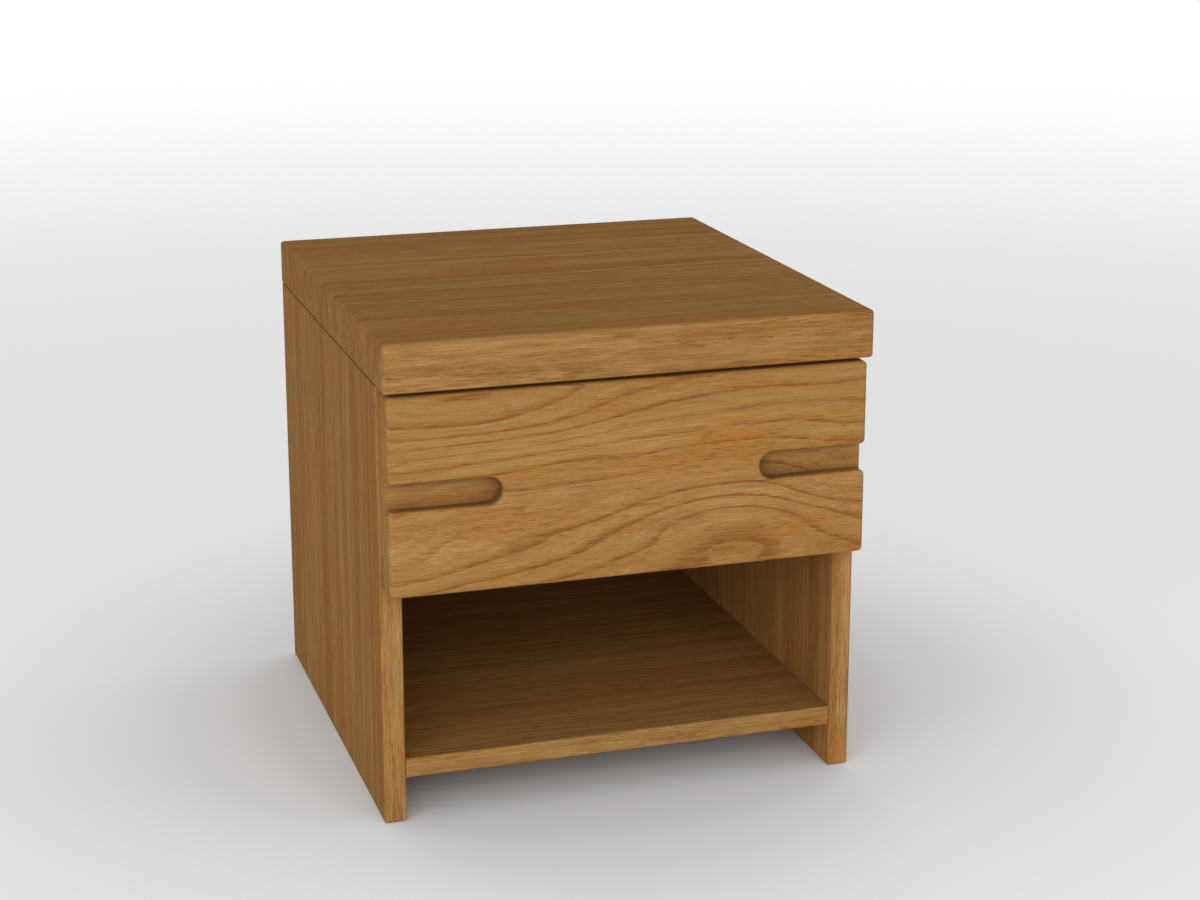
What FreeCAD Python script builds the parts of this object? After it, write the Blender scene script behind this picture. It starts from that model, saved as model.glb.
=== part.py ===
import FreeCAD, Part

import math
import os

# Oak bedside cabinet: one drawer on ball-bearing runners over an open compartment.
# Millimetres, +Z up. The origin is the middle of the footprint on the floor, and the front faces -Y.

Vector = FreeCAD.Vector
X_AXIS = Vector(1, 0, 0)
Y_AXIS = Vector(0, 1, 0)
Z_AXIS = Vector(0, 0, 1)
LEFT = -1
RIGHT = 1
SIDES = {"left": LEFT, "right": RIGHT}

# ---- Driving dimensions ----

# Carcass
WIDTH = 450.0  # top panel, end to end
DEPTH = 480.0  # top panel, front to back
HEIGHT = 450.0  # floor to the top panel's upper face
TOP_THICKNESS = 44.0
TOP_EDGE_RADIUS = 3.5
SIDE_THICKNESS = 20.0
SIDE_EDGE_RADIUS = 2.0
SIDE_INSET = 0.5  # side panels stand in from the top panel's ends and back
SIDE_SETBACK = 33.5  # side panels' front edges, behind the top panel's front face
SHELF_THICKNESS = 18.0
SHELF_HEIGHT = 60.0  # floor to the shelf's upper face
SHELF_EDGE_RADIUS = 1.5

# Carcass joints
HOUSING_DEPTH = 8.0  # the shelf's ends run this far into the side panels
HOUSING_STOP = 12.0  # the housings stop behind the side panels' front edges
HOUSING_CLEARANCE = 0.2
TONGUE_THICKNESS = 6.0  # loose tongues between the side panels and the top
TONGUE_DEPTH = 12.0  # of a tongue in each of the two
TONGUE_STOP = 45.0  # from the side panels' front edges, and from the back panel
TONGUE_CLEARANCE = 0.1
BACK_THICKNESS = 8.0
BACK_INSET = 8.0  # back panel's outer face, in from the side panels' back edges
BACK_GROOVE_DEPTH = 8.0
PANEL_CLEARANCE = 0.2  # round a panel in its grooves

# Drawer front
FRONT_THICKNESS = 28.0
FRONT_HEIGHT = 180.0
FRONT_INSET = 3.5  # at each end, from the top panel's end
FRONT_SETBACK = 4.5  # behind the top panel's front face
FRONT_TOP_GAP = 4.0  # under the top panel
FRONT_EDGE_RADIUS = 3.5
FRONT_CORNER_RADIUS = 4.5
GROOVE_HEIGHT = 25.0
GROOVE_LENGTH = 102.0  # from the front's end to the tip of the groove's round end
GROOVE_DEPTH = 14.0

# Drawer box
BOX_HEIGHT = 130.0
BOX_LIFT = 15.0  # box's lower edge above the drawer front's
BOX_BACK_GAP = 31.0  # behind the box, to the back panel
BOX_THICKNESS = 12.0
BOX_EDGE_RADIUS = 1.5
BOTTOM_THICKNESS = 6.0
BOTTOM_LIFT = 10.0  # bottom panel above the box's lower edge
BOTTOM_GROOVE_DEPTH = 6.0
TAIL_COUNT = 3
TAIL_SHARE = 0.6  # of the tails' pitch, at the wide end
TAIL_SLOPE = 1.0 / 6.0

# Runners: folded sheet members with a ball cage between them
RUNNER_WIDTH = 12.7  # between the side panel and the drawer box
RUNNER_HEIGHT = 35.0
RUNNER_LIFT = 60.0  # runner's middle above the box's lower edge
RUNNER_FRONT_GAP = 3.0  # rail's front end behind the side panel's front edge
RUNNER_BACK_GAP = 27.0  # rail's back end in front of the back panel
RUNNER_OVERLAP = 100.0  # of rail and slide, when the drawer is fully open
SHEET = 1.2
SHEET_BEND = 1.1  # radius of a bend's middle line
RAIL_LIP_ANGLE = 20.0  # where the rail's lip ends, above the ball's middle
SLIDE_LIP_ANGLE = 205.0  # where the slide's lip ends, under the ball's middle
BALL_RADIUS = 2.0
BALL_CLEARANCE = 0.15
BALL_PITCH = 14.0
CAGE_SHEET = 0.5
CAGE_CLEARANCE = 0.3
CAGE_MARGIN = 0.9  # cage beyond its balls
CAGE_END_GAP = 5.0  # cage short of the rail's end when the drawer is open
BUMPER_LENGTH = 8.0
BUMPER_HEIGHT = 16.0
BUMPER_GAP = 0.3  # to the slide, when the drawer is shut

# Screws
SCREW_RADIUS = 1.5
SCREW_HEAD_RADIUS = 3.0
SCREW_CLEARANCE = 0.1
RAIL_SCREW_LENGTH = 14.0
SLIDE_SCREW_LENGTH = 11.0
RUNNER_SCREW_INSET = 30.0  # from a rail's or slide's ends
FRONT_SCREW_LENGTH = 30.0
FRONT_SCREW_INSET = 60.0  # from the box's sides
FRONT_SCREW_MARGIN = 25.0  # from the box's upper and lower edges

# ---- Derived places ----

SIDE_OUTER = WIDTH / 2 - SIDE_INSET
SIDE_INNER = SIDE_OUTER - SIDE_THICKNESS
SIDE_MIDDLE = (SIDE_OUTER + SIDE_INNER) / 2
SIDE_FRONT = SIDE_SETBACK - DEPTH / 2
SIDE_BACK = DEPTH / 2 - SIDE_INSET
SIDE_TOP = HEIGHT - TOP_THICKNESS
SHELF_BOTTOM = SHELF_HEIGHT - SHELF_THICKNESS
BACK_OUTER = SIDE_BACK - BACK_INSET
BACK_INNER = BACK_OUTER - BACK_THICKNESS

FRONT_END = WIDTH / 2 - FRONT_INSET
FRONT_FACE = FRONT_SETBACK - DEPTH / 2
FRONT_BACK = FRONT_FACE + FRONT_THICKNESS
FRONT_TOP = SIDE_TOP - FRONT_TOP_GAP
FRONT_BOTTOM = FRONT_TOP - FRONT_HEIGHT
FRONT_MIDDLE = (FRONT_TOP + FRONT_BOTTOM) / 2
GROOVE_RADIUS = GROOVE_HEIGHT / 2

BOX_OUTER = SIDE_INNER - RUNNER_WIDTH
BOX_INNER = BOX_OUTER - BOX_THICKNESS
BOX_BACK = BACK_INNER - BOX_BACK_GAP
BOX_BOTTOM = FRONT_BOTTOM + BOX_LIFT
BOX_TOP = BOX_BOTTOM + BOX_HEIGHT
BOX_FRONT_ROOT = FRONT_BACK + BOX_THICKNESS  # where the front dovetails start
BOX_BACK_ROOT = BOX_BACK - BOX_THICKNESS

RAIL_FRONT = SIDE_FRONT + RUNNER_FRONT_GAP
RAIL_BACK = BACK_INNER - RUNNER_BACK_GAP
RUNNER_MIDDLE = BOX_BOTTOM + RUNNER_LIFT
RUNNER_TRAVEL = RAIL_BACK - RAIL_FRONT - RUNNER_OVERLAP
SLIDE_BACK = RAIL_BACK - BUMPER_LENGTH - BUMPER_GAP
RACE_RADIUS = BALL_RADIUS + BALL_CLEARANCE
LIP_RADIUS = RACE_RADIUS + SHEET / 2  # of the middle line of a lip round the balls

# Across a runner is measured from the side panel towards the drawer, and up from its middle.
CAGE_ACROSS = SHEET + CAGE_CLEARANCE
BALL_ACROSS = CAGE_ACROSS + CAGE_SHEET + CAGE_CLEARANCE + SHEET + RACE_RADIUS
BALL_UP = RUNNER_HEIGHT / 2 - RACE_RADIUS - SHEET
CAGE_REACH = BALL_ACROSS + BALL_RADIUS + CAGE_MARGIN
CAGE_LENGTH = RUNNER_OVERLAP - 2 * CAGE_END_GAP
CAGE_FRONT = RAIL_FRONT + RUNNER_TRAVEL / 2 + CAGE_END_GAP
BALL_ROW_LENGTH = CAGE_LENGTH - 2 * (BALL_RADIUS + CAGE_MARGIN)
BALL_COUNT = int(BALL_ROW_LENGTH / BALL_PITCH) + 1  # in each row

# Directions in a runner's section
TO_DRAWER = 0.0
UPWARDS = 90.0
TO_PANEL = 180.0
DOWNWARDS = 270.0


# ---- Shared shapes ----


def box_between(x0, x1, y0, y1, z0, z1):
    """A box between two planes along each axis, given in either order."""
    low = Vector(min(x0, x1), min(y0, y1), min(z0, z1))
    size = Vector(max(x0, x1), max(y0, y1), max(z0, z1)) - low
    return Part.makeBox(size.x, size.y, size.z, low)


def same(a, b):
    return abs(a - b) < 1e-6


def edges_along(shape, axis, test):
    """The straight edges that run along an axis and start at a point that passes the test."""
    straight = [edge for edge in shape.Edges if isinstance(edge.Curve, Part.Line)]
    return [e for e in straight if same(e.Curve.Direction.cross(axis).Length, 0) and test(e.Vertexes[0].Point)]


def edges_on(shape, test):
    """The edges whose ends all pass the test."""
    return [edge for edge in shape.Edges if all(test(vertex.Point) for vertex in edge.Vertexes)]


# ---- Screws: each seat is the place of the head's face, the way the screw points and its length ----


def rail_screw_seats(side):
    """Through a rail into its side panel."""
    across = side * (SIDE_INNER - SHEET)
    ends = (RAIL_FRONT + RUNNER_SCREW_INSET, RAIL_BACK - RUNNER_SCREW_INSET)
    return [(Vector(across, y, RUNNER_MIDDLE), X_AXIS * side, RAIL_SCREW_LENGTH) for y in ends]


def slide_screw_seats(side):
    """Through a slide into its drawer board."""
    across = side * (BOX_OUTER + SHEET)
    ends = (RAIL_FRONT + RUNNER_SCREW_INSET, SLIDE_BACK - RUNNER_SCREW_INSET)
    return [(Vector(across, y, RUNNER_MIDDLE), X_AXIS * -side, SLIDE_SCREW_LENGTH) for y in ends]


def front_screw_seats(side):
    """From inside the box into the drawer front."""
    across = side * (BOX_INNER - FRONT_SCREW_INSET)
    heights = (BOX_BOTTOM + FRONT_SCREW_MARGIN, BOX_TOP - FRONT_SCREW_MARGIN)
    return [(Vector(across, BOX_FRONT_ROOT, z), -Y_AXIS, FRONT_SCREW_LENGTH) for z in heights]


def screw(place, axis, length, growth=0.0):
    """A countersunk screw with its head flush, or its hole when it has growth."""
    shank = SCREW_RADIUS + growth
    head = Part.makeCone(SCREW_HEAD_RADIUS + growth, shank, SHEET, place, axis)
    body = Part.makeCylinder(shank, length + growth - SHEET, place + axis * SHEET, axis)
    return head.fuse(body)


def drilled(shape, seats):
    """The shape with the holes for its screws."""
    return shape.cut([screw(*seat, growth=SCREW_CLEARANCE) for seat in seats])


def both(seats_of_side):
    return seats_of_side(LEFT) + seats_of_side(RIGHT)


def screw_group(seats_of_side):
    """All the screws of one kind, as separate solids."""
    return Part.makeCompound([screw(*seat) for seat in both(seats_of_side)])


# ---- Carcass ----


def tongue(side, growth=0.0):
    """A loose tongue between a side panel and the top, or the groove it fits when it has growth."""
    half = TONGUE_THICKNESS / 2 + growth
    depth = TONGUE_DEPTH + growth
    middle = side * SIDE_MIDDLE
    front = SIDE_FRONT + TONGUE_STOP - growth
    back = BACK_INNER - TONGUE_STOP + growth
    return box_between(middle - half, middle + half, front, back, SIDE_TOP - depth, SIDE_TOP + depth)


def back_panel(growth=0.0):
    """The back panel, or the space it takes in its grooves when it has growth."""
    edge = SIDE_INNER + BACK_GROOVE_DEPTH - PANEL_CLEARANCE + growth
    low = SHELF_BOTTOM + PANEL_CLEARANCE - growth
    high = SIDE_TOP + BACK_GROOVE_DEPTH - PANEL_CLEARANCE + growth
    return box_between(-edge, edge, BACK_INNER - growth, BACK_OUTER + growth, low, high)


def shelf_end(side, growth=0.0):
    """The stretch of the shelf that sits in a side panel's housing, or the housing with growth."""
    end = side * (SIDE_INNER + HOUSING_DEPTH + growth)
    front = SIDE_FRONT + HOUSING_STOP - growth
    back = BACK_INNER - PANEL_CLEARANCE
    return box_between(side * SIDE_INNER, end, front, back, SHELF_BOTTOM, SHELF_HEIGHT)


def top_panel():
    panel = box_between(-WIDTH / 2, WIDTH / 2, -DEPTH / 2, DEPTH / 2, SIDE_TOP, HEIGHT)
    panel = panel.makeFillet(TOP_EDGE_RADIUS, panel.Edges)
    grooves = [tongue(side, TONGUE_CLEARANCE) for side in SIDES.values()]
    return panel.cut(grooves + [back_panel(PANEL_CLEARANCE)])


def side_panel(side):
    panel = box_between(side * SIDE_INNER, side * SIDE_OUTER, SIDE_FRONT, SIDE_BACK, 0, SIDE_TOP)
    foot = edges_on(panel, lambda point: same(point.z, 0))
    upright = edges_along(panel, Z_AXIS, lambda point: True)
    panel = panel.makeFillet(SIDE_EDGE_RADIUS, foot + upright)
    housing = shelf_end(side, HOUSING_CLEARANCE)
    panel = panel.cut([tongue(side, TONGUE_CLEARANCE), housing, back_panel(PANEL_CLEARANCE)])
    return drilled(panel, rail_screw_seats(side))


def shelf():
    back = BACK_INNER - PANEL_CLEARANCE
    board = box_between(-SIDE_INNER, SIDE_INNER, SIDE_FRONT, back, SHELF_BOTTOM, SHELF_HEIGHT)
    board = board.makeFillet(SHELF_EDGE_RADIUS, edges_on(board, lambda point: same(point.y, SIDE_FRONT)))
    return board.fuse([shelf_end(side) for side in SIDES.values()]).removeSplitter()


# ---- Drawer ----


def finger_groove(side):
    """The cutter for a groove that is open at the front's end and stops in a round end."""
    centre = side * (FRONT_END - GROOVE_LENGTH + GROOVE_RADIUS)
    floor = FRONT_FACE + GROOVE_DEPTH
    low = FRONT_MIDDLE - GROOVE_RADIUS
    high = FRONT_MIDDLE + GROOVE_RADIUS
    straight = box_between(centre, side * FRONT_END, FRONT_FACE, floor, low, high)
    round_end = Part.makeCylinder(GROOVE_RADIUS, GROOVE_DEPTH, Vector(centre, FRONT_FACE, FRONT_MIDDLE), Y_AXIS)
    return straight.fuse(round_end).removeSplitter()


def drawer_front():
    """A thick board with soft edges, rounded also where the finger grooves run out at its ends."""
    front = box_between(-FRONT_END, FRONT_END, FRONT_FACE, FRONT_BACK, FRONT_BOTTOM, FRONT_TOP)
    front = front.cut([finger_groove(side) for side in SIDES.values()])
    corners = edges_along(front, Y_AXIS, lambda point: same(abs(point.x), FRONT_END))
    front = front.makeFillet(FRONT_CORNER_RADIUS, corners)
    front = front.makeFillet(FRONT_EDGE_RADIUS, edges_on(front, lambda point: same(point.y, FRONT_FACE)))
    return drilled(front, both(front_screw_seats))


def tails(side, root, end):
    """The dovetails at one end of a drawer side board, from their root out to the box's end."""
    pitch = BOX_HEIGHT / TAIL_COUNT
    wide = TAIL_SHARE * pitch / 2
    narrow = wide - BOX_THICKNESS * TAIL_SLOPE
    solids = []
    for number in range(TAIL_COUNT):
        middle = BOX_BOTTOM + pitch * (number + 0.5)
        outline = [(root, middle - narrow), (end, middle - wide), (end, middle + wide), (root, middle + narrow)]
        points = [Vector(side * BOX_INNER, y, z) for y, z in outline + outline[:1]]
        solids.append(Part.Face(Part.makePolygon(points)).extrude(X_AXIS * side * BOX_THICKNESS))
    return solids


def drawer_bottom(growth=0.0):
    """The bottom panel, or the space it takes in its grooves when it has growth."""
    reach = BOTTOM_GROOVE_DEPTH - PANEL_CLEARANCE + growth
    edge = BOX_INNER + reach
    low = BOX_BOTTOM + BOTTOM_LIFT
    return box_between(
        -edge,
        edge,
        BOX_FRONT_ROOT - reach,
        BOX_BACK_ROOT + reach,
        low - growth,
        low + BOTTOM_THICKNESS + growth,
    )


def drawer_box_side(side):
    """A side board with dovetails at both ends and rounded upper edges."""
    inner = side * BOX_INNER
    board = box_between(inner, side * BOX_OUTER, BOX_FRONT_ROOT, BOX_BACK_ROOT, BOX_BOTTOM, BOX_TOP)
    board = board.makeFillet(BOX_EDGE_RADIUS, edges_along(board, Y_AXIS, lambda point: same(point.z, BOX_TOP)))
    board = board.fuse(tails(side, BOX_FRONT_ROOT, FRONT_BACK) + tails(side, BOX_BACK_ROOT, BOX_BACK))
    board = board.removeSplitter().cut(drawer_bottom(PANEL_CLEARANCE))
    return drilled(board, slide_screw_seats(side))


def drawer_box_end(root, end):
    """The box's front or back board, with sockets for both side boards' dovetails."""
    board = box_between(-BOX_OUTER, BOX_OUTER, root, end, BOX_BOTTOM, BOX_TOP)
    board = board.cut(tails(LEFT, root, end) + tails(RIGHT, root, end))
    return board.cut(drawer_bottom(PANEL_CLEARANCE))


# ---- Runners ----


def runner_point(side, across, up, y):
    return Vector(side * (SIDE_INNER - across), y, RUNNER_MIDDLE + up)


def runner_box(side, across0, across1, up0, up1, y0, y1):
    low = runner_point(side, across0, up0, y0)
    high = runner_point(side, across1, up1, y1)
    return box_between(low.x, high.x, low.y, high.y, low.z, high.z)


def folded_member(side, lip, bend, back):
    """A channel folded from sheet, alike above and below its middle.

    The lip and the bend are arcs of the sheet's middle line in the upper half: the centre across,
    the centre up, the radius, and the angles where the arc starts and ends on the way from the lip
    to the web. Straight sheet joins one arc to the next.
    """
    upper = [lip, bend]
    lower = [(across, -up, radius, -end, -start) for across, up, radius, start, end in reversed(upper)]

    def beside(arcs, offset):
        """The same arcs with the sheet's surface on one hand of the middle line."""
        turns = [1 if end > start else -1 for _, _, _, start, end in arcs]
        return [(a, u, r - turn * offset, s, e) for (a, u, r, s, e), turn in zip(arcs, turns)]

    outward = beside(upper + lower, -SHEET / 2)
    inward = [(a, u, r, e, s) for a, u, r, s, e in reversed(beside(upper + lower, SHEET / 2))]

    def point(arc, angle):
        across, up, radius, _, _ = arc
        turn = math.radians(angle)
        return runner_point(side, across + radius * math.cos(turn), up + radius * math.sin(turn), RAIL_FRONT)

    outline = outward + inward
    edges = []
    for arc, following in zip(outline, outline[1:] + outline[:1]):
        start, end = arc[3:]
        edges.append(Part.Arc(point(arc, start), point(arc, (start + end) / 2), point(arc, end)).toShape())
        edges.append(Part.LineSegment(point(arc, end), point(following, following[3])).toShape())
    return Part.Face(Part.Wire(edges)).extrude(Y_AXIS * (back - RAIL_FRONT))


def runner_rail(side):
    """The cabinet member: its lips curl over the balls."""
    lip = (BALL_ACROSS, BALL_UP, LIP_RADIUS, RAIL_LIP_ANGLE, UPWARDS)
    bend = (SHEET / 2 + SHEET_BEND, BALL_UP + LIP_RADIUS - SHEET_BEND, SHEET_BEND, UPWARDS, TO_PANEL)
    return drilled(folded_member(side, lip, bend, RAIL_BACK), rail_screw_seats(side))


def runner_slide(side):
    """The drawer member: it faces the rail, and its lips curl under the balls."""
    lip = (BALL_ACROSS, BALL_UP, LIP_RADIUS, SLIDE_LIP_ANGLE, DOWNWARDS)
    bend_across = RUNNER_WIDTH - SHEET / 2 - SHEET_BEND
    bend = (bend_across, BALL_UP - LIP_RADIUS - SHEET_BEND, SHEET_BEND, UPWARDS, TO_DRAWER)
    return drilled(folded_member(side, lip, bend, SLIDE_BACK), slide_screw_seats(side))


def ball_rows(side):
    """The middle of every ball in one cage, in an upper and a lower row."""
    first = CAGE_FRONT + (CAGE_LENGTH - BALL_PITCH * (BALL_COUNT - 1)) / 2
    rows = [first + BALL_PITCH * number for number in range(BALL_COUNT)]
    return [runner_point(side, BALL_ACROSS, up, y) for up in (-BALL_UP, BALL_UP) for y in rows]


def ball_cage(side):
    """A thin channel with a window for every ball."""
    half = CAGE_SHEET / 2
    back = CAGE_FRONT + CAGE_LENGTH
    inner = CAGE_ACROSS + CAGE_SHEET
    cage = runner_box(side, CAGE_ACROSS, CAGE_REACH, -BALL_UP - half, BALL_UP + half, CAGE_FRONT, back)
    hollow = runner_box(side, inner, CAGE_REACH, half - BALL_UP, BALL_UP - half, CAGE_FRONT, back)
    reach = BALL_RADIUS + BALL_CLEARANCE
    windows = []
    for middle in ball_rows(side):
        corner = middle - Vector(reach, reach, half)
        windows.append(Part.makeBox(2 * reach, 2 * reach, CAGE_SHEET, corner))
    return cage.cut([hollow] + windows)


def ball(middle):
    """A ball in few flat faces: a cube inside the ball's sphere, with every edge chamfered."""
    slant = 1 + math.sqrt(2)
    half = BALL_RADIUS * slant / math.sqrt(slant**2 + 2)
    cube = Part.makeBox(2 * half, 2 * half, 2 * half, middle - Vector(half, half, half))
    return cube.makeChamfer(half - half / slant, cube.Edges)


def runner_balls(side):
    return Part.makeCompound([ball(middle) for middle in ball_rows(side)])


def runner_bumper(side):
    """The rubber block at the back of a rail, which the slide meets when the drawer is shut."""
    half = BUMPER_HEIGHT / 2
    return runner_box(side, SHEET, RUNNER_WIDTH - SHEET, -half, half, RAIL_BACK - BUMPER_LENGTH, RAIL_BACK)


# ---- Assembly ----


def build():
    nodes = {
        "top_panel": top_panel(),
        "shelf": shelf(),
        "back_panel": back_panel(),
        "drawer_front": drawer_front(),
        "drawer_box_front": drilled(drawer_box_end(BOX_FRONT_ROOT, FRONT_BACK), both(front_screw_seats)),
        "drawer_box_back": drawer_box_end(BOX_BACK_ROOT, BOX_BACK),
        "drawer_bottom": drawer_bottom(),
        "drawer_front_screws": screw_group(front_screw_seats),
        "rail_screws": screw_group(rail_screw_seats),
        "slide_screws": screw_group(slide_screw_seats),
    }
    for name, side in SIDES.items():
        nodes[f"side_panel_{name}"] = side_panel(side)
        nodes[f"top_tongue_{name}"] = tongue(side)
        nodes[f"drawer_box_{name}"] = drawer_box_side(side)
        nodes[f"runner_rail_{name}"] = runner_rail(side)
        nodes[f"runner_slide_{name}"] = runner_slide(side)
        nodes[f"ball_cage_{name}"] = ball_cage(side)
        nodes[f"runner_balls_{name}"] = runner_balls(side)
        nodes[f"runner_bumper_{name}"] = runner_bumper(side)
    return nodes


os.makedirs("parts", exist_ok=True)
for node, shape in build().items():
    shape.exportStep(f"parts/{node}.step")
    print(node, len(shape.Solids), shape.isValid(), round(shape.Volume, 1))
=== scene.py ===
from math import cos, pi, radians, sin

import bmesh
import bpy
from mathutils import Matrix, Vector

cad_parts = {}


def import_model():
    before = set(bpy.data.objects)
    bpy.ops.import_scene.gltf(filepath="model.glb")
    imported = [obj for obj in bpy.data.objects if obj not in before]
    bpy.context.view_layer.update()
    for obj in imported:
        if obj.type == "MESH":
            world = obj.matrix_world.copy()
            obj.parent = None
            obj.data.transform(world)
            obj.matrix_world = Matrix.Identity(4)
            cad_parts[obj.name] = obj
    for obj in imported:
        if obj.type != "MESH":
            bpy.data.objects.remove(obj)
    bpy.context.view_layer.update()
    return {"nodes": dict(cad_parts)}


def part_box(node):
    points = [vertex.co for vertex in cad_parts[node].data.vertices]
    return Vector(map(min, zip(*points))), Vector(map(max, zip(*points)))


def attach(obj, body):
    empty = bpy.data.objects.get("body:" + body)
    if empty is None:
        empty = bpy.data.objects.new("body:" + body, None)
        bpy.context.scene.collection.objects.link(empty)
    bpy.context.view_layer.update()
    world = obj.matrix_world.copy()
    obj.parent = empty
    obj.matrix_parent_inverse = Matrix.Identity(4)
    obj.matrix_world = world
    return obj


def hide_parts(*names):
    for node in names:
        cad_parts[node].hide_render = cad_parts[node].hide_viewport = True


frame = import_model()

# ---- Values, in metres ----

CAMERA_PLACE = (-0.631, -2.130, 0.9153)
CAMERA_TILT = radians(75.62)
CAMERA_HEADING = radians(-17.56)
CAMERA_LENS = 70.89
CAMERA_SHIFT = -0.06

FLOOR_RADIUS = 14.0
FLOOR_COLOUR = (0.79, 0.80, 0.82)
FLOOR_FADE = (0.4, 6.0)  # how far from the cabinet the floor starts to fade to white, and where it has
FLOOR_GLOW = 0.49  # share of plain white in the floor that the camera sees near the cabinet
FLOOR_SHADE = 3.5  # how fast that share falls off where the cabinet closes the floor in, a painted shade near and under the cabinet
FLOOR_SHADE_REACH = 0.5
FLOOR_CLOUDS = 0.985  # how dark the floor's faint clouds are
WORLD_STRENGTH = 0.57

SOFTBOX_TARGET = (0, 0, 0.22)
SOFTBOXES = {  # place, width and height, power in watts
    "left_softbox": ((-2.2, -2.6, 1.2), (2.6, 2.2), 35),
    "front_softbox": ((0.0, -3.4, 1.3), (3.0, 2.4), 40),
}

SCREW_SIDES = 24

# Shares of a screw head's radius
SCREW_HEAD_DEPTH = 0.4
SCREW_SHANK = 0.5  # the shank's radius
SCREW_RIM = 0.97  # the head's flat face
SCREW_RIM_DROP = 0.04  # from that face down to the head's widest edge
CROSS_MOUTH = (0.62, 0.13)  # the cross recess's reach and half its width, at the head's face
CROSS_FLOOR = (0.3, 0.09)
CROSS_DEPTH = 0.55

# Shares of the shank's radius
THREAD_PITCH = 0.9
THREAD_CORE = 0.68
SCREW_TIP = 3

BALL_SUBDIVISIONS = 3

BUMPER_RIBS = 3
BUMPER_RIB_DEPTH = 0.0009
BUMPER_EDGE = 0.0005
BUMPER_STEPS = 48


# ---- Node graphs ----


class Graph:
    """A node tree with short calls: each call adds one node and returns its output."""

    def __init__(self, tree):
        self.tree = tree
        tree.nodes.clear()

    def node(self, kind, inputs, **settings):
        node = self.tree.nodes.new("ShaderNode" + kind)
        for name, value in settings.items():
            setattr(node, name, value)
        for key, value in inputs.items():
            socket = node.inputs[key]
            if isinstance(value, bpy.types.NodeSocket):
                self.tree.links.new(value, socket)
            elif value is not None:
                socket.default_value = value
        return node

    def math(self, operation, a, b=None, c=None):
        return self.node("Math", {0: a, 1: b, 2: c}, operation=operation).outputs[0]

    def mapped(self, value, low, high, to_low=0.0, to_high=1.0):
        """The value's range from low to high, smoothly turned into another range."""
        inputs = {"Value": value, 1: low, 2: high, 3: to_low, 4: to_high}
        return self.node("MapRange", inputs, interpolation_type="SMOOTHSTEP").outputs["Result"]

    def mix(self, factor, a, b, blend="MIX"):
        inputs = {0: factor, 6: a, 7: b}
        return self.node("Mix", inputs, data_type="RGBA", blend_type=blend).outputs[2]

    def ramp(self, factor, stops):
        """A colour ramp through (place, grey) stops."""
        node = self.node("ValToRGB", {"Fac": factor})
        elements = node.color_ramp.elements
        for element, (place, _) in zip(elements, stops):
            element.position = place
        for place, _ in stops[len(elements) :]:
            elements.new(place)
        for element, (place, grey) in zip(elements, stops):
            element.position = place
            element.color = (grey, grey, grey, 1)
        return node.outputs["Color"]

    def noise(self, vector, scale, seed=0.0, detail=2.0, roughness=0.5):
        """Noise from 0 to 1 whose features are 1/scale long on each axis."""
        place = {"Vector": vector, "Location": (seed, seed * 2, seed * 3), "Scale": scale}
        moved = self.node("Mapping", place).outputs[0]
        inputs = {"Vector": moved, "Scale": 1.0, "Detail": detail, "Roughness": roughness}
        return self.node("TexNoise", inputs).outputs["Fac"]

    def object_place(self):
        return self.node("TexCoord", {}).outputs["Object"]

    def split(self, vector):
        return self.node("SeparateXYZ", {0: vector}).outputs

    def joined(self, x, y, z):
        return self.node("CombineXYZ", {0: x, 1: y, 2: z}).outputs[0]

    def shows_background(self):
        """1 for the rays that show a background as it is: camera, glossy and transmission rays."""
        rays = self.node("LightPath", {}).outputs
        mirrored = self.math("MAXIMUM", rays["Is Glossy Ray"], rays["Is Transmission Ray"])
        return self.math("MAXIMUM", rays["Is Camera Ray"], mirrored)

    def output(self, surface, kind="OutputMaterial"):
        self.node(kind, {"Surface": surface})


def new_material(name):
    material = bpy.data.materials.new(name)
    material.use_nodes = True
    return material, Graph(material.node_tree)


def srgb(red, green, blue):
    """A colour written in 0 to 255 display values, as linear light."""
    parts = [value / 255 for value in (red, green, blue)]
    return tuple(p / 12.92 if p <= 0.04045 else ((p + 0.055) / 1.055) ** 2.4 for p in parts) + (1.0,)


# ---- Wood ----

OAK_LIGHT = srgb(184, 144, 88)
OAK_DARK = srgb(160, 120, 69)
OAK_RING = srgb(140, 91, 44)
OAK_OLIVE = srgb(158, 124, 66)
OAK_AMBER = srgb(172, 114, 56)
# the pores' colour, also the colour of the painted shade in grooves
OAK_PORE_AND_SHADE = srgb(92, 60, 32)
EARLY_WOOD = 0.006  # how far the dark early wood of a wide ring fades out
FAINTEST_RING = 0.2  # with the darkest as 1
WAVER_REACH = 0.0022  # how far the rings waver
LAYER_STRETCH = 0.35  # how fast bands and hairs change along the rings, with across them as 1
AMBER_SHARE = 0.5
PORE_SHARE = 0.6
GROOVE_SHADE_REACH = 0.03  # how near walls have to be for the painted shade in a groove
GROOVE_SHADE_SHARE = 0.6  # how dark the painted shade in a groove gets

# Features per metre: along the grain, across the rings and along the rings
WANDER_SCALE = (3.2, 10, 10)
WAVER_SCALE = (12, 70, 70)
DASH_SCALE = (34, 800, 800)
FIBRE_SCALE = (22, 620, 620)
BAND_SCALE = (1.3, 80, 80)
HAIR_SCALE = (4, 180, 180)
PATCH_SCALE = (5, 26, 26)
TONE_SCALE = (0.9, 17, 17)
PORE_SCALE = (80, 1100, 1100)

# The stretch of each noise in which its feature goes from none to all
DASH_SPAN = (0.38, 0.62)
FIBRE_SPAN = (0.38, 0.62)
BAND_SPAN = (0.38, 0.66)
HAIR_SPAN = (0.47, 0.63)
PATCH_SPAN = (0.5, 0.7)
TONE_SPAN = (0.42, 0.6)
PORE_SPAN = (0.51, 0.68)
# the stretch of occlusion over which the painted groove shade goes from full to none
GROOVE_SHADE_SPAN = (0.4, 0.9)
END_SPAN = (0.7, 0.95)  # of how squarely a face cuts the grain

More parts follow.
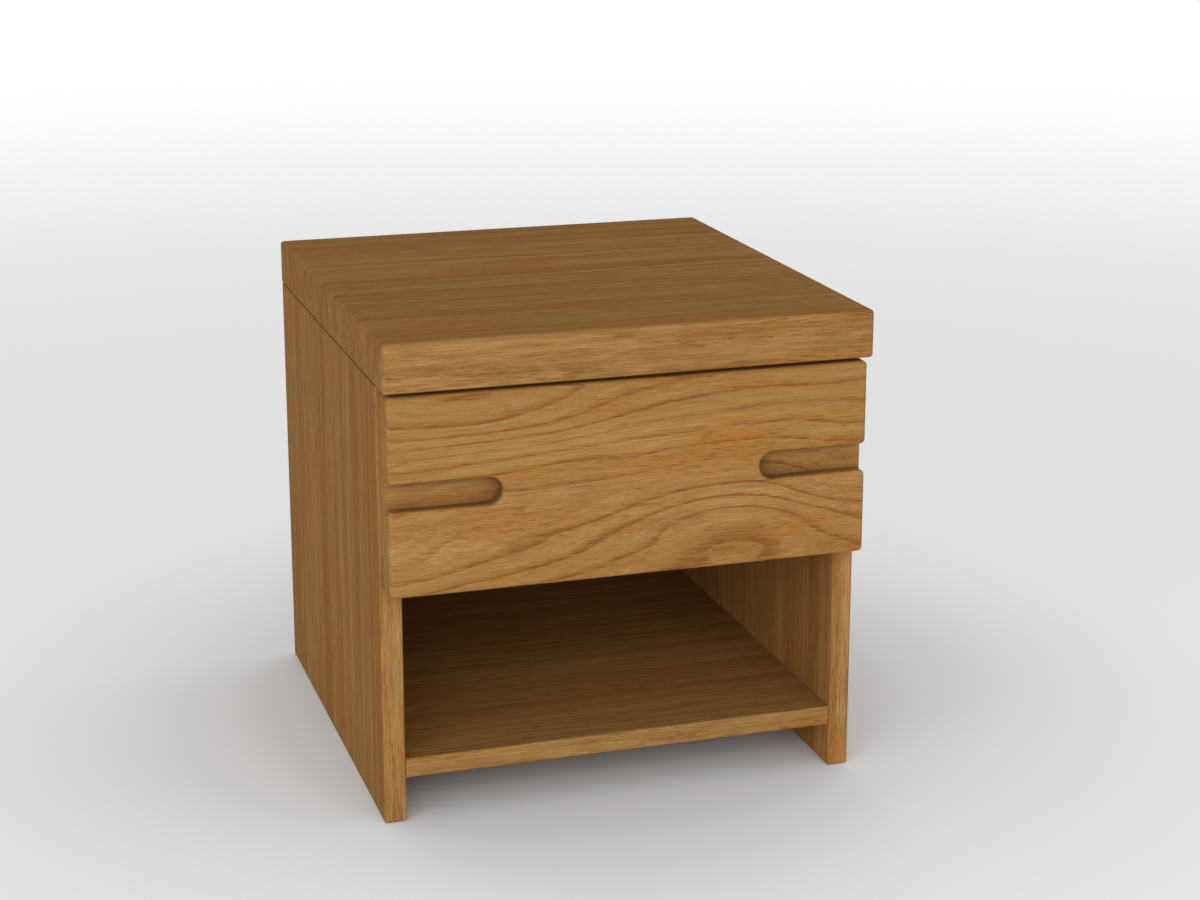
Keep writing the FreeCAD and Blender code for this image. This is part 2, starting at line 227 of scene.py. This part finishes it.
# How the dark of the early wood fades through a ring: (place in the ring, darkness)
RING_START = (0.0, 0.12)
RING_FADE = [(0.07, 1.0), (0.2, 0.72), (0.42, 0.26), (0.75, 0.04)]
RING_END = (1.0, 0.12)


def oak(
    name,
    axes,
    pith,
    ring,
    figure,
    seed,
    shade=1.0,
    lean=0.0,
    bands=0.4,
    olive=0.4,
    streaks=0.75,
    lines=1.0,
    end=0.0,
    swells=(),
    stains=(),
):
    """Solid oak cut from a log.

    axes names the object's axes along the grain, across the rings and along the rings. pith is the
    log's heart on the last two. ring is the width of a growth ring, figure how far the rings wander,
    and lean how far the heart moves away for each unit of length. shade multiplies every colour.
    bands is how dark the broad bands are, olive how far the tone turns, streaks how dark the thin
    hairs are, lines how dark the rings are, and end how much darker the end grain is. A swell bends
    the rings round a place, and a stain brings out amber there: each is the place along the grain and
    along the rings, how far it reaches on the two, and its lift or its share.
    """
    material, g = new_material(name)
    place = dict(zip("xyz", g.split(g.object_place())))
    along, across, beside = (place[axis] for axis in axes)
    wood = g.joined(along, across, beside)

    # Growth rings
    heart = g.math("MULTIPLY_ADD", along, lean, g.math("SUBTRACT", across, pith[0]))
    side = g.math("SUBTRACT", beside, pith[1])
    radius = g.math("SQRT", g.math("MULTIPLY_ADD", heart, heart, g.math("MULTIPLY", side, side)))

    def hill(along_at, beside_at, along_reach, beside_reach, lift):
        u = g.math("DIVIDE", g.math("SUBTRACT", along, along_at), along_reach)
        v = g.math("DIVIDE", g.math("SUBTRACT", beside, beside_at), beside_reach)
        square = g.math("MULTIPLY_ADD", u, u, g.math("MULTIPLY", v, v))
        return g.math("MULTIPLY", g.math("EXPONENT", g.math("MULTIPLY", square, -1.0)), lift)

    for swell in swells:
        radius = g.math("ADD", radius, hill(*swell))
    wander = g.noise(wood, WANDER_SCALE, seed, detail=2)
    waver = g.noise(wood, WAVER_SCALE, seed + 5, detail=6, roughness=0.6)
    radius = g.math("MULTIPLY_ADD", wander, figure, radius)
    radius = g.math("MULTIPLY_ADD", waver, WAVER_REACH, radius)
    layers = g.joined(along, radius, g.math("MULTIPLY", beside, LAYER_STRETCH))
    turns = g.math("DIVIDE", radius, ring)
    growth = g.math("FRACT", turns)
    year = g.node("TexWhiteNoise", {"W": g.math("FLOOR", turns)}, noise_dimensions="1D").outputs["Value"]
    share = min(1.0, EARLY_WOOD / ring)
    fade = [(at * share, dark) for at, dark in RING_FADE]
    early = g.ramp(growth, [RING_START, *fade, RING_END])
    strength = g.mapped(year, 0.0, 1.0, FAINTEST_RING * lines, lines)
    dash = g.noise(wood, DASH_SCALE, seed + 6, detail=4, roughness=0.65)
    dash = g.mapped(dash, *DASH_SPAN, 0.25, 1.2)
    line = g.math("MULTIPLY", g.math("MULTIPLY", early, strength), dash)

    # Fibres, pores and patches of colour
    fibre = g.noise(g.joined(along, radius, beside), FIBRE_SCALE, seed + 1, detail=5, roughness=0.7)
    band = g.noise(layers, BAND_SCALE, seed + 2, detail=4, roughness=0.65)
    patch = g.mapped(g.noise(wood, PATCH_SCALE, seed + 3, detail=3, roughness=0.55), *PATCH_SPAN)
    for stain in stains:
        patch = g.math("ADD", patch, hill(*stain))
    pore = g.mapped(g.noise(wood, PORE_SCALE, seed + 4, detail=2), *PORE_SPAN)
    pore = g.math("MULTIPLY", pore, g.mapped(g.math("MAXIMUM", early, patch), 0.0, 1.0, 0.3, 0.9))
    tone = g.noise(wood, TONE_SCALE, seed + 8, detail=3, roughness=0.55)
    hair = g.noise(layers, HAIR_SCALE, seed + 7, detail=6, roughness=0.85)

    # Colour: each step lays one feature over the ones before it
    colour = g.mix(g.mapped(fibre, *FIBRE_SPAN), shaded(OAK_LIGHT, shade), shaded(OAK_DARK, shade))
    colour = g.mix(g.mapped(tone, *TONE_SPAN, 0.0, olive), colour, shaded(OAK_OLIVE, shade))
    colour = g.mix(g.mapped(band, *BAND_SPAN, 0.0, bands), colour, shaded(OAK_RING, shade))
    colour = g.mix(g.mapped(hair, *HAIR_SPAN, 0.0, streaks), colour, shaded(OAK_RING, shade))
    colour = g.mix(g.math("MULTIPLY", patch, AMBER_SHARE), colour, shaded(OAK_AMBER, shade))
    colour = g.mix(line, colour, shaded(OAK_RING, shade))
    colour = g.mix(g.math("MULTIPLY", pore, PORE_SHARE), colour, shaded(OAK_PORE_AND_SHADE, shade))

    # Painted shade in grooves, and darker end grain
    # Painted shade: the colour darkens towards the pore colour where the board's own walls close in, as
    # in grooves and recesses
    around = g.node("AmbientOcclusion", {"Distance": GROOVE_SHADE_REACH}, samples=4, only_local=True)
    recess = g.mapped(around.outputs["AO"], *GROOVE_SHADE_SPAN, GROOVE_SHADE_SHARE, 0.0)
    colour = g.mix(recess, colour, shaded(OAK_PORE_AND_SHADE, shade))
    if end:
        normal = g.split(g.node("TexCoord", {}).outputs["Normal"])
        facing = normal["xyz".index(axes[0])]
        sawn = g.mapped(g.math("ABSOLUTE", facing), *END_SPAN, 0.0, end)
        colour = g.mix(sawn, colour, shaded(OAK_PORE_AND_SHADE, shade))

    # Surface
    rough = g.math("MULTIPLY_ADD", pore, 0.2, g.mapped(fibre, 0.2, 0.8, 0.56, 0.66))
    relief = g.math("SUBTRACT", g.math("MULTIPLY", fibre, 0.35), g.math("MULTIPLY", pore, 0.8))
    bump = g.node("Bump", {"Height": relief, "Strength": 0.6, "Distance": 0.00012})
    inputs = {
        "Base Color": colour,
        "Roughness": rough,
        "Normal": bump.outputs[0],
        "Specular IOR Level": 0.004,
    }
    g.output(g.node("BsdfPrincipled", inputs).outputs[0])
    return material


def shaded(colour, shade):
    """A colour made lighter or darker."""
    return tuple(part * shade for part in colour[:3]) + (1.0,)


# ---- Metal and rubber ----


def plated(name, colour, roughness, brush):
    """Plated metal. brush is how fine its marks are on each axis."""
    material, g = new_material(name)
    place = g.object_place()
    marks = g.noise(place, brush, 3.0, detail=4, roughness=0.65)
    cloud = g.noise(place, (30, 12, 30), 8.0, detail=3)
    tone = g.mapped(cloud, 0.3, 0.7, 0.86, 1.0)
    rough = g.math("ADD", g.mapped(marks, 0.3, 0.7, 0.0, 0.14), roughness)
    grey = g.mix(1.0, colour + (1.0,), g.joined(tone, tone, tone), "MULTIPLY")
    bump = g.node("Bump", {"Height": marks, "Strength": 0.3, "Distance": 0.00004})
    inputs = {"Base Color": grey, "Metallic": 1.0, "Roughness": rough, "Normal": bump.outputs[0]}
    g.output(g.node("BsdfPrincipled", inputs).outputs[0])
    return material


def rubber(name):
    """Black rubber with a matt grain."""
    material, g = new_material(name)
    grain = g.noise(g.object_place(), (900, 900, 900), 2.0, detail=3)
    shade = g.mix(grain, (0.012, 0.012, 0.013, 1), (0.028, 0.027, 0.026, 1))
    bump = g.node("Bump", {"Height": grain, "Strength": 0.5, "Distance": 0.00008})
    inputs = {
        "Base Color": shade,
        "Roughness": 0.78,
        "Normal": bump.outputs[0],
        "Specular IOR Level": 0.3,
    }
    g.output(g.node("BsdfPrincipled", inputs).outputs[0])
    return material


# ---- Floor, light and camera ----


def floor():
    """A pale floor. What the camera sees of it fades to plain white away from the cabinet."""
    bpy.ops.mesh.primitive_circle_add(vertices=96, radius=FLOOR_RADIUS, fill_type="NGON")
    ground = bpy.context.object
    ground.name = "floor"
    material, g = new_material("floor_white")
    away = g.node("VectorMath", {0: g.object_place()}, operation="LENGTH").outputs["Value"]
    fade = g.mapped(away, *FLOOR_FADE)
    # Painted shade: the white share is taken away where the cabinet closes the floor in, which darkens
    # the floor near and under it
    around = g.node("AmbientOcclusion", {"Distance": FLOOR_SHADE_REACH}, samples=8)
    shade = g.math("POWER", around.outputs["AO"], FLOOR_SHADE)
    glow = g.math("MULTIPLY", g.mapped(fade, 0, 1, FLOOR_GLOW, 1.0), shade)
    cloud = g.noise(g.object_place(), (6, 6, 6), 4.0, detail=6)
    tone = g.mix(cloud, shaded(FLOOR_COLOUR, FLOOR_CLOUDS), shaded(FLOOR_COLOUR, 1.0))
    matt = g.node("BsdfPrincipled", {"Base Color": tone, "Roughness": 0.9, "Specular IOR Level": 0.1})
    white = g.node("Emission", {"Color": (1, 1, 1, 1), "Strength": 1.0})
    share = g.math("MULTIPLY", glow, g.shows_background())
    inputs = {0: share, 1: matt.outputs[0], 2: white.outputs[0]}
    g.output(g.node("MixShader", inputs).outputs[0])
    ground.data.materials.append(material)


def world():
    """Soft even light, which shows as plain white."""
    surroundings = bpy.data.worlds.new("studio")
    surroundings.use_nodes = True
    bpy.context.scene.world = surroundings
    g = Graph(surroundings.node_tree)
    soft = g.node("Background", {"Color": (1, 1, 1, 1), "Strength": WORLD_STRENGTH})
    white = g.node("Background", {"Color": (1, 1, 1, 1), "Strength": 1.0})
    inputs = {0: g.shows_background(), 1: soft.outputs[0], 2: white.outputs[0]}
    g.output(g.node("MixShader", inputs).outputs[0], "OutputWorld")


def softbox(name, place, size, power):
    """A large soft lamp that points at the cabinet."""
    lamp = bpy.data.lights.new(name, "AREA")
    lamp.shape = "RECTANGLE"
    lamp.size, lamp.size_y = size
    lamp.energy = power
    holder = bpy.data.objects.new(name, lamp)
    holder.location = place
    holder.rotation_euler = (Vector(SOFTBOX_TARGET) - Vector(place)).to_track_quat("-Z", "Y").to_euler()
    bpy.context.scene.collection.objects.link(holder)


def camera():
    """The camera at the viewing angle of the main picture."""
    data = bpy.data.cameras.new("camera")
    data.lens = CAMERA_LENS
    data.shift_y = CAMERA_SHIFT
    viewer = bpy.data.objects.new("camera", data)
    viewer.location = CAMERA_PLACE
    viewer.rotation_euler = (CAMERA_TILT, 0, CAMERA_HEADING)
    bpy.context.scene.collection.objects.link(viewer)
    bpy.context.scene.camera = viewer


# ---- Small fittings, built over the frame's plainer solids ----


def solids(node):
    """The vertex places of each separate solid in a node."""
    mesh = bmesh.new()
    mesh.from_mesh(frame["nodes"][node].data)
    bmesh.ops.remove_doubles(mesh, verts=mesh.verts, dist=1e-6)
    loose = set(mesh.verts)
    groups = []
    for start in mesh.verts:
        if start not in loose:
            continue
        loose.remove(start)
        reached = [start]
        for vertex in reached:
            joined = {edge.other_vert(vertex) for edge in vertex.link_edges} & loose
            loose -= joined
            reached.extend(joined)
        groups.append([vertex.co.copy() for vertex in reached])
    mesh.free()
    return groups


def corners(places):
    """The lowest and the highest corner round some places."""
    low = Vector(min(place[axis] for place in places) for axis in range(3))
    high = Vector(max(place[axis] for place in places) for axis in range(3))
    return low, high


def piece(name, mesh, material, node, body):
    """Turns built mesh data into a piece that stands for a node."""
    bmesh.ops.recalc_face_normals(mesh, faces=mesh.faces)
    data = bpy.data.meshes.new(name)
    mesh.to_mesh(data)
    mesh.free()
    data.materials.append(material)
    made = bpy.data.objects.new(name, data)
    bpy.context.scene.collection.objects.link(made)
    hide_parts(node)
    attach(made, body)


def ring(mesh, radius, height, count):
    """Vertices on a circle about the Z axis."""
    turns = [2 * pi * number / count for number in range(count)]
    return [mesh.verts.new((radius * cos(turn), radius * sin(turn), height)) for turn in turns]


def skin(mesh, lower, upper, closed=True):
    """Quads between two rows of vertices."""
    count = len(lower)
    for number in range(count if closed else count - 1):
        after = (number + 1) % count
        mesh.faces.new((lower[number], lower[after], upper[after], upper[number]))


def fill(mesh, *loops):
    """A flat face inside the first loop, with the other loops as its holes."""
    edges = []
    for loop in loops:
        for here, there in zip(loop, loop[1:] + loop[:1]):
            edges.append(mesh.edges.get((here, there)) or mesh.edges.new((here, there)))
    bmesh.ops.triangle_fill(mesh, edges=edges, use_beauty=True)


def cross(mesh, reach, half, height):
    """The outline of a cross recess."""
    outline = []
    for quarter in range(4):
        turned = Matrix.Rotation(quarter * pi / 2, 3, "Z")
        for corner in ((reach, -half, 0), (reach, half, 0), (half, half, 0)):
            outline.append(mesh.verts.new(turned @ Vector(corner) + Vector((0, 0, height))))
    return outline


def wood_screw(head, head_depth, shank, length):
    """A countersunk screw with a cross recess, pointing down from its head's face at the origin."""
    mesh = bmesh.new()

    # Head
    rim = ring(mesh, head * SCREW_RIM, 0, SCREW_SIDES)
    edge = ring(mesh, head, -head * SCREW_RIM_DROP, SCREW_SIDES)
    neck = ring(mesh, shank, -head_depth, SCREW_SIDES)
    mouth = cross(mesh, *(head * share for share in CROSS_MOUTH), 0)
    recess_floor = cross(mesh, *(head * share for share in CROSS_FLOOR), -head * CROSS_DEPTH)
    skin(mesh, edge, rim)
    skin(mesh, neck, edge)
    skin(mesh, recess_floor, mouth)
    fill(mesh, rim, mouth)
    fill(mesh, recess_floor)

    # Thread: rows that climb round the shank, by turns in the groove and on the crest
    pitch = shank * THREAD_PITCH
    core = shank * THREAD_CORE
    tip = shank * SCREW_TIP
    start = head_depth + pitch / 2
    rows = []
    for half_turn in range(-2, int(2 * (length - start) / pitch) + 3):
        row = []
        for number in range(SCREW_SIDES + 1):
            depth = start + pitch * (half_turn / 2 + number / SCREW_SIDES)
            depth = min(max(depth, start), length)
            radius = (shank if half_turn % 2 else core) * min(1, (length - depth) / tip)
            turn = 2 * pi * number / SCREW_SIDES
            row.append(mesh.verts.new((radius * cos(turn), radius * sin(turn), -depth)))
        rows.append(row)
    for upper, lower in zip(rows, rows[1:]):
        skin(mesh, lower, upper, closed=False)
    skin(mesh, rows[0][:-1], neck)
    merge = shank * 0.002
    bmesh.ops.remove_doubles(mesh, verts=mesh.verts, dist=merge)
    bmesh.ops.dissolve_degenerate(mesh, edges=mesh.edges, dist=merge)
    return mesh


def screws(node, material, body):
    """Detailed screws in the places of a node's plain ones."""
    every = bmesh.new()
    for places in solids(node):
        low, high = corners(places)
        middle = (low + high) / 2
        size = high - low
        axis = max(range(3), key=lambda number: size[number])
        head = min(size) / 2
        beside = [number for number in range(3) if number != axis]
        reach = [max(abs(place[number] - middle[number]) for number in beside) for place in places]
        # Only the head is this wide, so it lies where these depths are
        depths = [place[axis] for place, far in zip(places, reach) if far > 0.9 * head]
        outward = Vector()
        outward[axis] = 1 if sum(depths) / len(depths) > middle[axis] else -1
        face = middle + outward * size[axis] / 2
        made = wood_screw(head, SCREW_HEAD_DEPTH * head, SCREW_SHANK * head, size[axis])
        turned = Vector((0, 0, 1)).rotation_difference(outward).to_matrix().to_4x4()
        bmesh.ops.transform(made, matrix=Matrix.Translation(face) @ turned, verts=made.verts)
        copy = bpy.data.meshes.new("screw")
        made.to_mesh(copy)
        made.free()
        every.from_mesh(copy)
        bpy.data.meshes.remove(copy)
    piece(f"{node}_detailed", every, material, node, body)


def balls(side, material):
    """Round balls in the places of one cage's many-sided ones."""
    node = f"runner_balls_{side}"
    mesh = bmesh.new()
    for places in solids(node):
        low, high = corners(places)
        middle = (low + high) / 2
        radius = max((place - middle).length for place in places)
        bmesh.ops.create_icosphere(
            mesh, subdivisions=BALL_SUBDIVISIONS, radius=radius, matrix=Matrix.Translation(middle)
        )
    for face in mesh.faces:
        face.smooth = True
    piece(f"{node}_round", mesh, material, node, f"cage_{side}")


def bumper(side, material):
    """A rubber stop with soft ribs on the face that the slide meets."""
    node = f"runner_bumper_{side}"
    low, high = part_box(node)
    tall = high[2] - low[2]
    outline = [(high[1], high[2]), (high[1], low[2])]
    for number in range(BUMPER_STEPS + 1):
        share = number / BUMPER_STEPS
        hollow = BUMPER_RIB_DEPTH * (1 - abs(sin(BUMPER_RIBS * pi * share)) ** 0.5)
        outline.append((low[1] + hollow, low[2] + share * tall))
    mid_y, mid_z = (low[1] + high[1]) / 2, (low[2] + high[2]) / 2
    small = 1 - 2 * BUMPER_EDGE / tall
    rows = ((low[0], small), (low[0] + BUMPER_EDGE, 1), (high[0] - BUMPER_EDGE, 1), (high[0], small))
    mesh = bmesh.new()
    loops = []
    for x, size in rows:
        scaled = [(mid_y + (y - mid_y) * size, mid_z + (z - mid_z) * size) for y, z in outline]
        loops.append([mesh.verts.new((x, y, z)) for y, z in scaled])
    for here, there in zip(loops, loops[1:]):
        skin(mesh, here, there)
    mesh.faces.new(loops[0])
    mesh.faces.new(loops[-1])
    piece(f"{node}_ribbed", mesh, material, node, "cabinet")


# ---- Dressing the frame ----


def dress(node, material):
    """Gives a frame node its material and keeps its mesh."""
    mesh = frame["nodes"][node].data
    mesh.materials.clear()
    mesh.materials.append(material)


def across(node, axis, share):
    """A place on an axis, as a share of the way from a node's low side to its high side."""
    low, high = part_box(node)
    number = "xyz".index(axis)
    return low[number] + share * (high[number] - low[number])


def front_oak():
    """The drawer front's figure: an arch low on the right, a tongue high on the left, amber between."""

    def on_front(right, up, reach_right, reach_up, lift):
        place = across("drawer_front", "x", right), across("drawer_front", "z", up)
        return *place, reach_right, reach_up, lift

    pith = (across("drawer_front", "y", 26), across("drawer_front", "z", -2.1))
    swells = [
        on_front(0.72, 0.20, 0.11, 0.042, -0.030),
        on_front(0.12, 0.88, 0.15, 0.034, 0.03),
        on_front(0.95, 0.38, 0.05, 0.030, 0.012),
        on_front(0.35, 0.38, 0.07, 0.020, 0.006),
        on_front(0.00, 0.15, 0.11, 0.040, 0.022),
    ]
    stains = [
        on_front(0.44, 0.88, 0.03, 0.012, 0.8),
        on_front(0.68, 0.70, 0.05, 0.012, 0.8),
        on_front(0.35, 0.08, 0.12, 0.014, 0.7),
        on_front(0.85, 0.20, 0.05, 0.020, 0.6),
    ]
    look = {"shade": 0.98, "streaks": 0.3, "lines": 1.9, "swells": swells, "stains": stains}
    return oak("oak_front", "xyz", pith, ring=0.011, figure=0.032, seed=23.9, **look)


def dress_board(node, name, axes, heart, **look):
    """Cuts a board from its own log. heart is the pith's place on the last two axes, as shares."""
    pith = [across(node, axis, share) for axis, share in zip(axes[1:], heart)]
    dress(node, oak(name, axes, pith, **look))


def dress_boards():
    dress("drawer_front", front_oak())

    top = {"ring": 0.0052, "figure": 0.018, "seed": 7.7, "shade": 0.89, "bands": 0.6, "olive": 0.1}
    dress_board("top_panel", "oak_top", "xyz", (3.0, -5.0), **top)

    shelf = {"ring": 0.006, "figure": 0.03, "seed": 12.4, "shade": 0.88, "bands": 0.5, "olive": 0.15}
    dress_board("shelf", "oak_shelf", "xyz", (3.0, -8.0), **shelf)

    side = {"ring": 0.006, "figure": 0.026, "bands": 0.6}
    dress_board("side_panel_left", "oak_side_left", "zyx", (2.6, 9.0), seed=20.3, shade=0.92, **side)
    dress_board("side_panel_right", "oak_side_right", "zyx", (3.6, -8.0), seed=25.3, shade=1.03, **side)

    back = {"ring": 0.006, "figure": 0.02, "seed": 31.9, "shade": 0.9}
    dress_board("back_panel", "oak_back", "zxy", (2.5, 9.0), **back)


def dress_drawer():
    box = {"ring": 0.005, "figure": 0.03, "shade": 1.1, "lean": 0.03, "end": 0.5}
    dress_board("drawer_box_left", "oak_box_left", "yxz", (7.0, 0.3), seed=41.2, **box)
    dress_board("drawer_box_right", "oak_box_right", "yxz", (7.0, 0.7), seed=44.2, **box)
    dress_board("drawer_box_front", "oak_box_front", "xyz", (7.0, 0.3), seed=51.2, **box)
    dress_board("drawer_box_back", "oak_box_back", "xyz", (7.0, 0.7), seed=54.2, **box)

    bottom = {"ring": 0.006, "figure": 0.03, "seed": 61.0, "shade": 1.1}
    dress_board("drawer_bottom", "oak_ply", "xzy", (-14, 0.5), **bottom)


def dress_fittings():
    zinc = plated("zinc_plate", (0.62, 0.64, 0.66), 0.24, (900, 30, 900))
    cage = plated("cage_steel", (0.5, 0.5, 0.5), 0.34, (900, 60, 900))
    chrome = plated("ball_steel", (0.72, 0.73, 0.74), 0.06, (300, 300, 300))
    yellow = plated("yellow_zinc", (0.74, 0.62, 0.36), 0.26, (700, 700, 700))
    black = rubber("black_rubber")
    for side in ("left", "right"):
        dress(f"runner_rail_{side}", zinc)
        dress(f"runner_slide_{side}", zinc)
        dress(f"ball_cage_{side}", cage)
        balls(side, chrome)
        bumper(side, black)
        tongue = {"ring": 0.003, "figure": 0.01, "seed": 71.0, "shade": 1.2}
        dress_board(f"top_tongue_{side}", f"tongue_ply_{side}", "yxz", (9.0, 0.5), **tongue)
    screws("rail_screws", yellow, "cabinet")
    screws("slide_screws", yellow, "drawer")
    screws("drawer_front_screws", yellow, "drawer")


dress_boards()
dress_drawer()
dress_fittings()
floor()
world()
camera()
for lamp_name, (place, size, power) in SOFTBOXES.items():
    softbox(lamp_name, place, size, power)
bpy.context.scene.view_settings.view_transform = "Standard"
